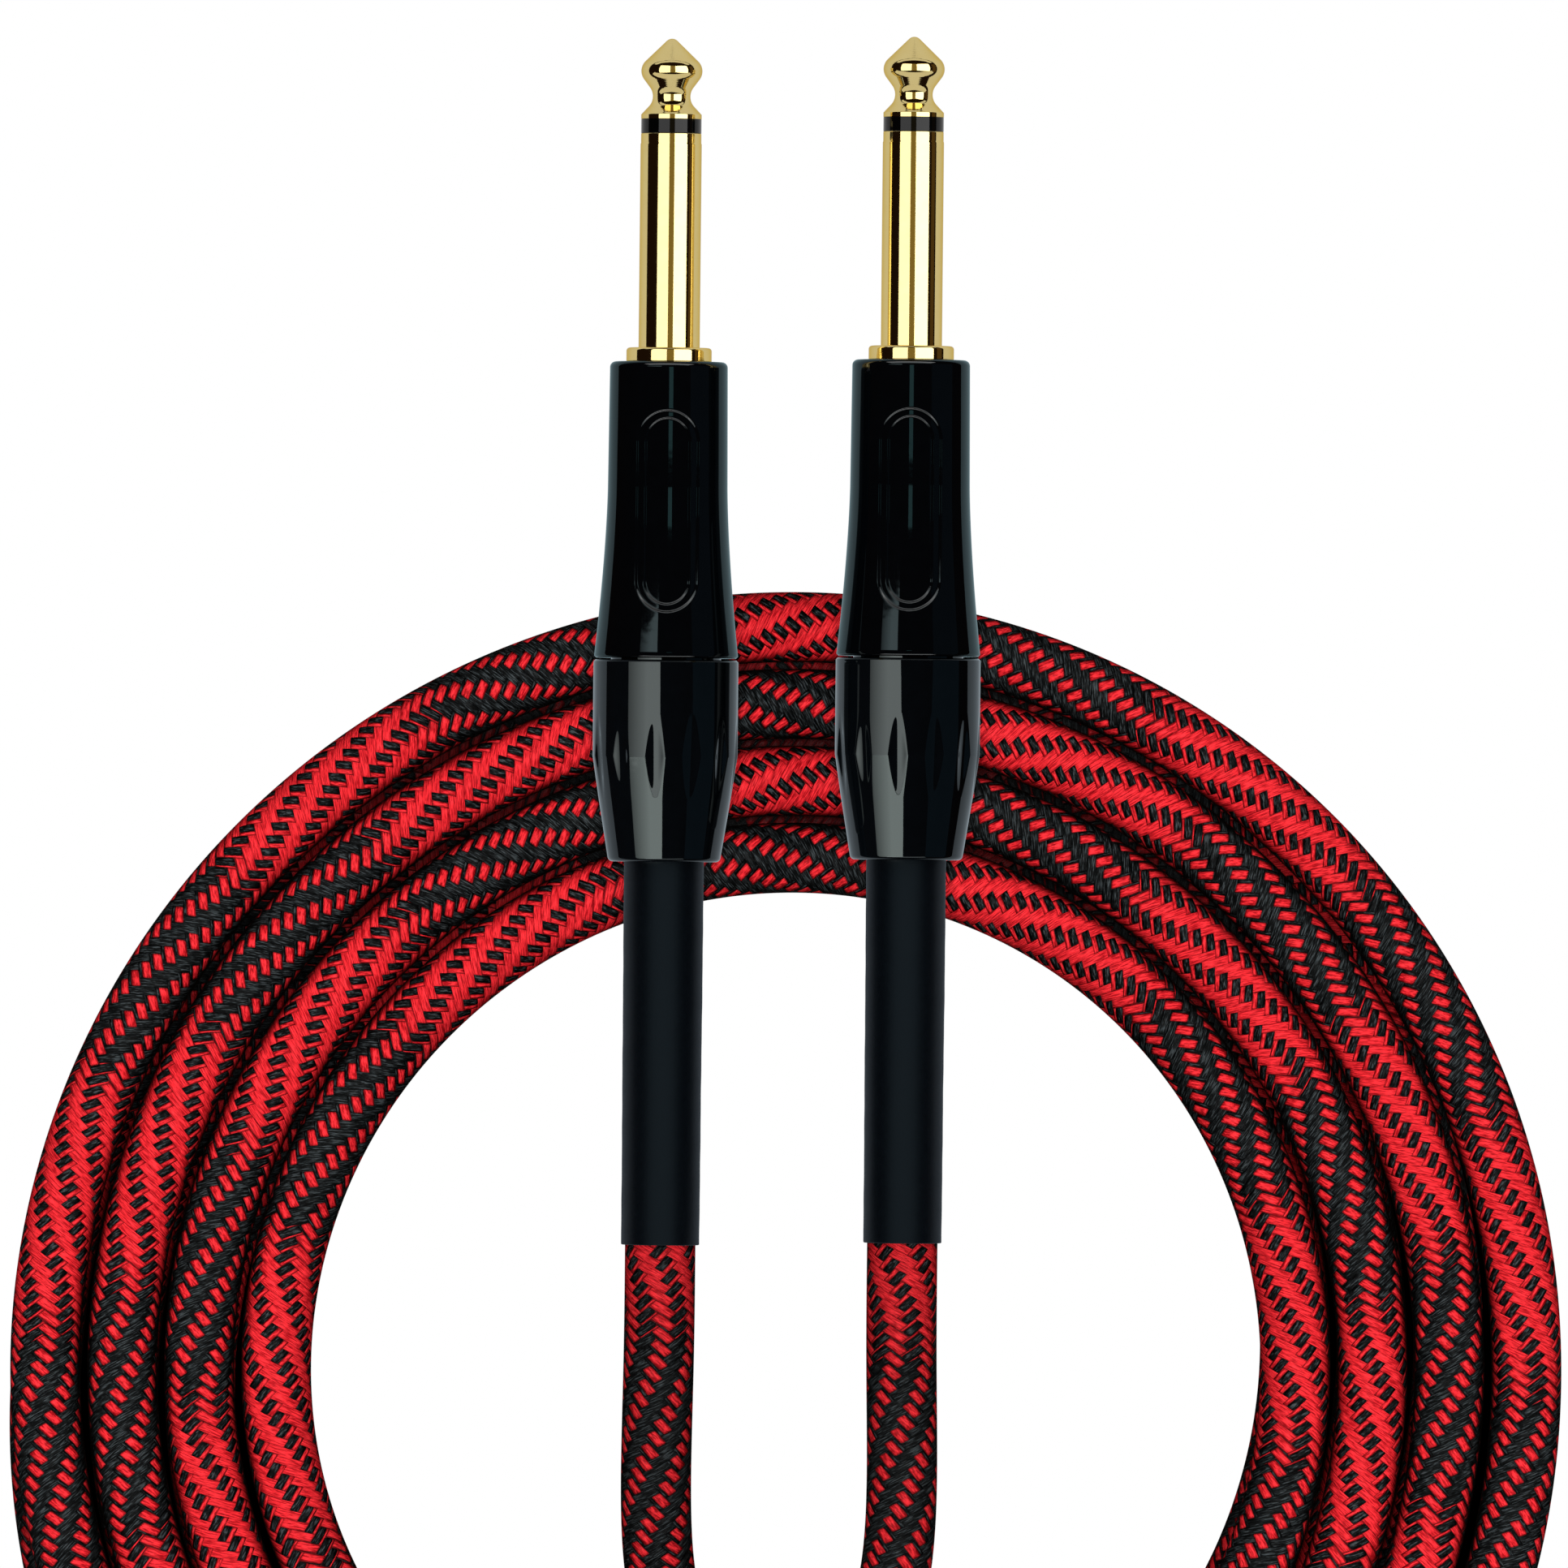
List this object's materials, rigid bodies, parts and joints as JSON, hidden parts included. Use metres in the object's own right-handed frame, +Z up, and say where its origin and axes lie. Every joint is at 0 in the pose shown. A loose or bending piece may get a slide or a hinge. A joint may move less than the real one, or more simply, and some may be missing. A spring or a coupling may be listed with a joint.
{
  "type": "instrument cable",
  "caption": "Audio instrument cable: a braided cable wound in a flat round coil, with a straight quarter-inch jack plug at each end lying across it.",
  "frame": {"origin": "the middle of the object's footprint, on the surface that the coil lies on", "axes": "+Y from the coil towards the plugs' tips, along the plugs; +Z up; +X to the right, from plug a to plug b"},
  "size_m": [0.1616, 0.2226, 0.03],
  "materials": {
    "braided_jacket": "red and black braided yarn",
    "gold": "gold plated, polished",
    "black_plastic": "smooth",
    "milky_plastic": "translucent white",
    "tinned_metal": "tinned, dull",
    "black_lacquer": "gloss black",
    "copper": "bare copper",
    "solder": "satin",
    "grey_plastic": "moulded",
    "black_shrink": "satin heat-shrink tube"
  },
  "bodies": {
    "cable": {"cable_coil": "braided_jacket", "cable_tail_a": "braided_jacket", "cable_tail_b": "braided_jacket", "plug_a_tip": "gold", "plug_a_insulator_ring": "black_plastic", "plug_a_sleeve": "gold", "plug_a_rear_insulator": "milky_plastic", "plug_a_tip_lug": "tinned_metal", "plug_a_ground_lug": "tinned_metal", "plug_a_insulating_tube": "milky_plastic", "plug_a_housing": "black_lacquer", "plug_a_core_insulation": "milky_plastic", "plug_a_core_wire": "copper", "plug_a_shield_pigtail": "copper", "plug_a_solder_joints": "solder", "plug_a_heat_shrink": "black_shrink", "plug_b_tip": "gold", "plug_b_insulator_ring": "black_plastic", "plug_b_sleeve": "gold", "plug_b_rear_insulator": "milky_plastic", "plug_b_tip_lug": "tinned_metal", "plug_b_ground_lug": "tinned_metal", "plug_b_insulating_tube": "milky_plastic", "plug_b_housing": "black_lacquer", "plug_b_core_insulation": "milky_plastic", "plug_b_core_wire": "copper", "plug_b_shield_pigtail": "copper", "plug_b_solder_joints": "solder", "plug_b_heat_shrink": "black_shrink"},
    "chuck_a": {"plug_a_chuck": "grey_plastic"},
    "cap_a": {"plug_a_tail_cap": "black_lacquer"},
    "chuck_b": {"plug_b_chuck": "grey_plastic"},
    "cap_b": {"plug_b_tail_cap": "black_lacquer"}
  },
  "joints": [
    {"name": "chuck_a_slide", "type": "slide", "parent": "cable", "child": "chuck_a", "axis": [0, -1, 0], "range_m": [0, 0.005]},
    {"name": "cap_a_unscrew", "type": "hinge", "parent": "chuck_a", "child": "cap_a", "pos_m": [-0.01315, 0.03587, 0.0225], "axis": [0, -1, 0], "range_deg": [0, 1800]},
    {"name": "chuck_b_slide", "type": "slide", "parent": "cable", "child": "chuck_b", "axis": [0, -1, 0], "range_m": [0, 0.005]},
    {"name": "cap_b_unscrew", "type": "hinge", "parent": "chuck_b", "child": "cap_b", "pos_m": [0.01195, 0.03632, 0.0225], "axis": [0, -1, 0], "range_deg": [0, 1800]}
  ],
  "couplings": [
    {"joint": "cap_a_unscrew", "follows": "chuck_a_slide", "rad_per_m": 6283.1},
    {"joint": "cap_b_unscrew", "follows": "chuck_b_slide", "rad_per_m": 6283.1}
  ]
}
